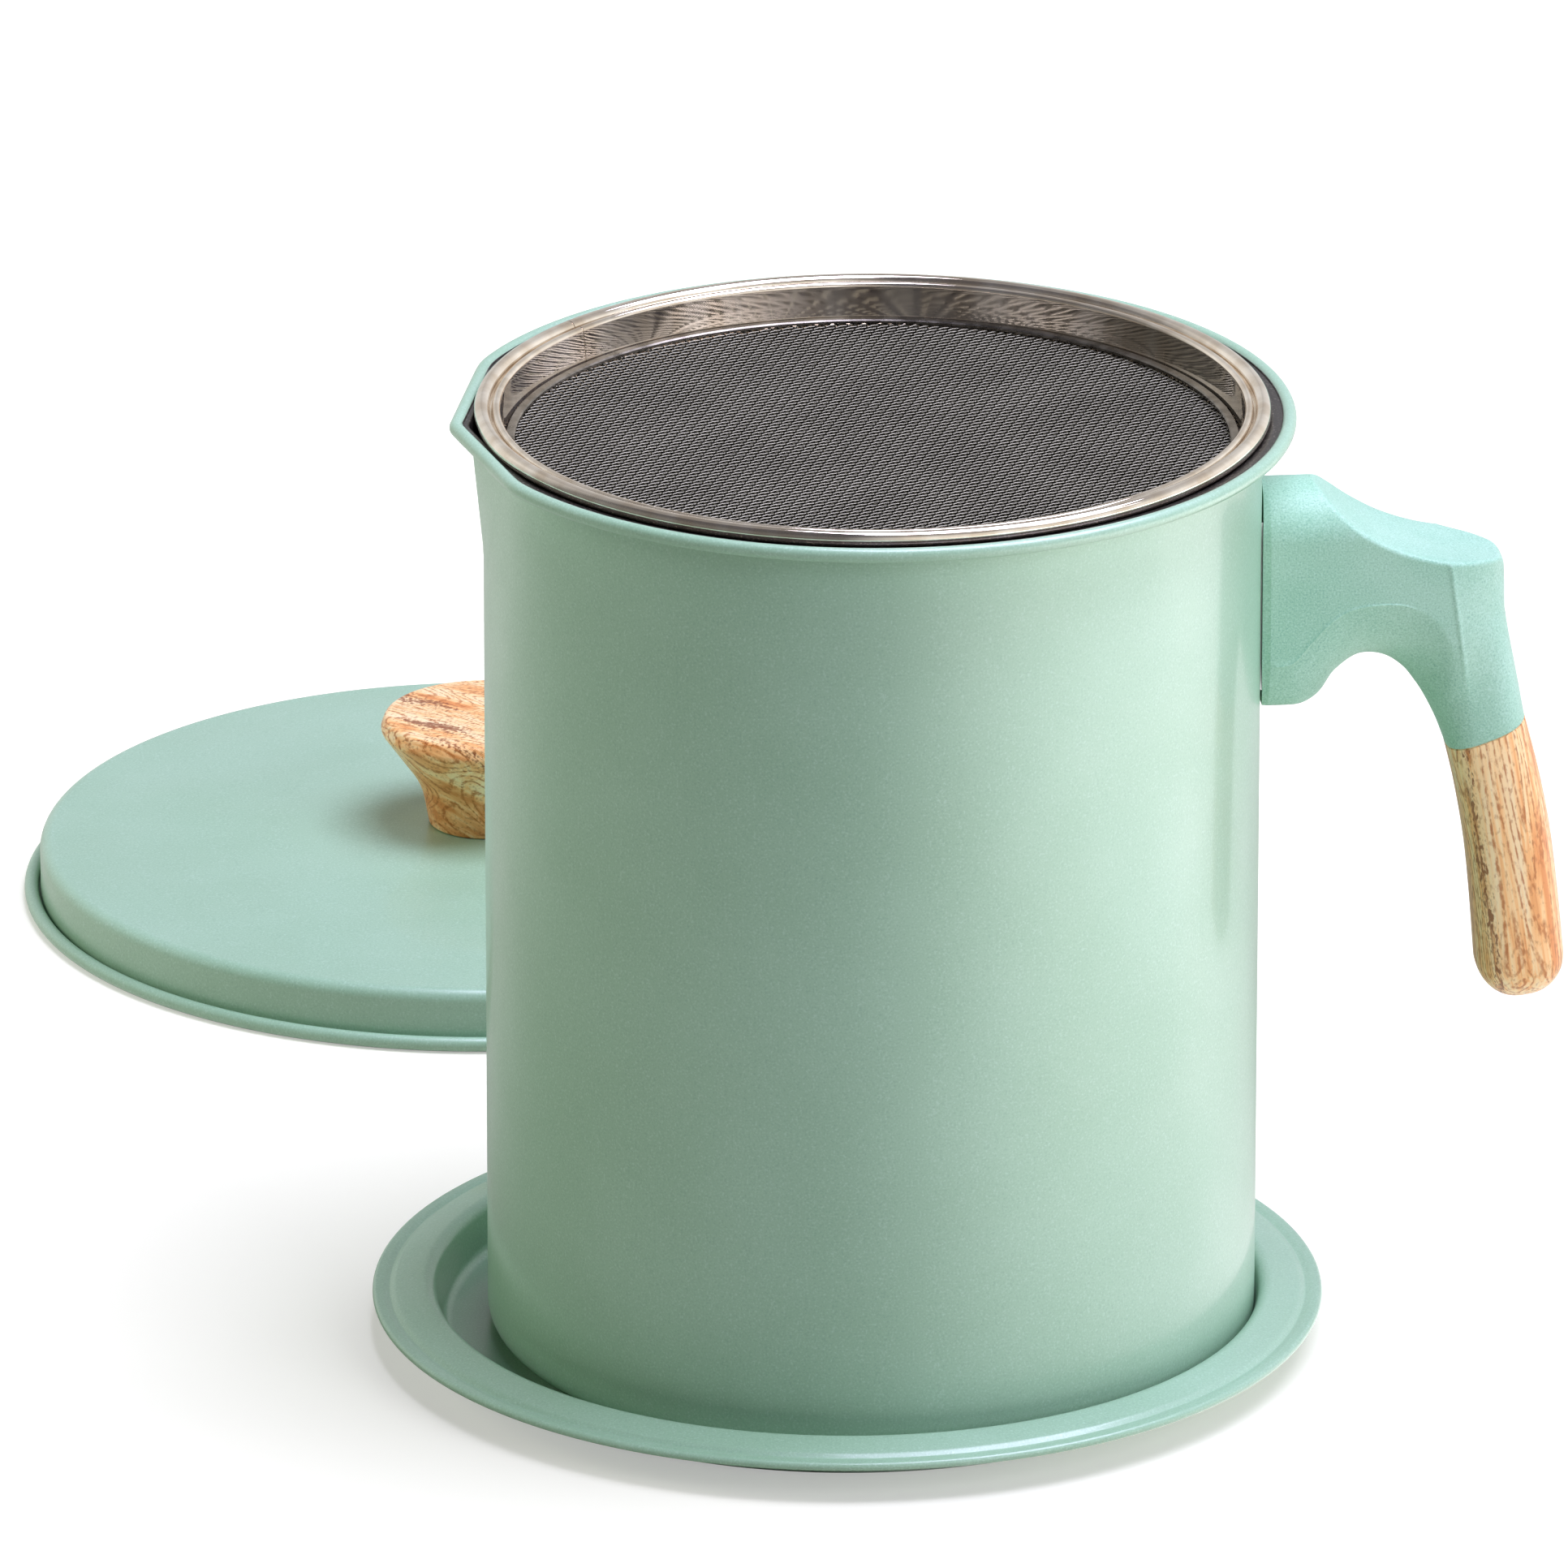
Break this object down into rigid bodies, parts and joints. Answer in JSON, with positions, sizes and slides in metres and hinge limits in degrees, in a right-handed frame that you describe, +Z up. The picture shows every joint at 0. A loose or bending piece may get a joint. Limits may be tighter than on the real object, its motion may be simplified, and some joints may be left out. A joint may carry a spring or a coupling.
{
  "type": "bacon grease container",
  "caption": "Tall straight pot with a pouring lip and a side handle, standing in a drip tray, with a lift-out fine strainer and a knobbed lid.",
  "frame": {"origin": "on the floor under the pot's axis, on the tray's flat underside", "axes": "+Z up along the pot's axis, +X towards the handle, -X towards the pouring lip, +Y towards the lid that lies behind"},
  "size_m": [0.2679, 0.406, 0.178],
  "materials": {
    "mint_enamel": "satin-gloss mint coat with a fine speckle; the pot's inside has a dark non-stick coat",
    "mint_moulding": "satin moulded plastic with a fine pearl speckle",
    "wood_print": "moulding with a brown wood-grain print under a clear coat",
    "strainer_steel": "polished stainless strip",
    "mesh_steel": "woven fine stainless wire",
    "fastener_steel": "zinc-plated steel",
    "insert_brass": "turned brass"
  },
  "bodies": {
    "tray": {"tray_pan": "mint_enamel"},
    "pot": {"pot_shell": "mint_enamel", "handle_bracket": "fastener_steel", "bracket_nut": "fastener_steel", "handle_arm": "mint_moulding", "handle_screw": "fastener_steel", "handle_lock_washer": "fastener_steel", "grip_stud": "fastener_steel", "handle_grip": "wood_print", "grip_nut": "fastener_steel"},
    "strainer": {"strainer_rim": "strainer_steel", "strainer_mesh": "mesh_steel", "mesh_clamp_ring": "strainer_steel"},
    "lid": {"lid_shell": "mint_enamel", "lid_knob": "wood_print", "knob_insert": "insert_brass", "knob_screw": "fastener_steel", "knob_washer": "fastener_steel"}
  },
  "joints": [
    {"name": "pot_lift", "type": "slide", "parent": "tray", "child": "pot", "axis": [0, 0, 1], "range_m": [0, 0.15]},
    {"name": "strainer_lift", "type": "slide", "parent": "pot", "child": "strainer", "axis": [0, 0, 1], "range_m": [0, 0.1]},
    {"name": "lid_lift", "type": "slide", "parent": "tray", "child": "lid", "axis": [0, 0, 1], "range_m": [0, 0.15]}
  ]
}
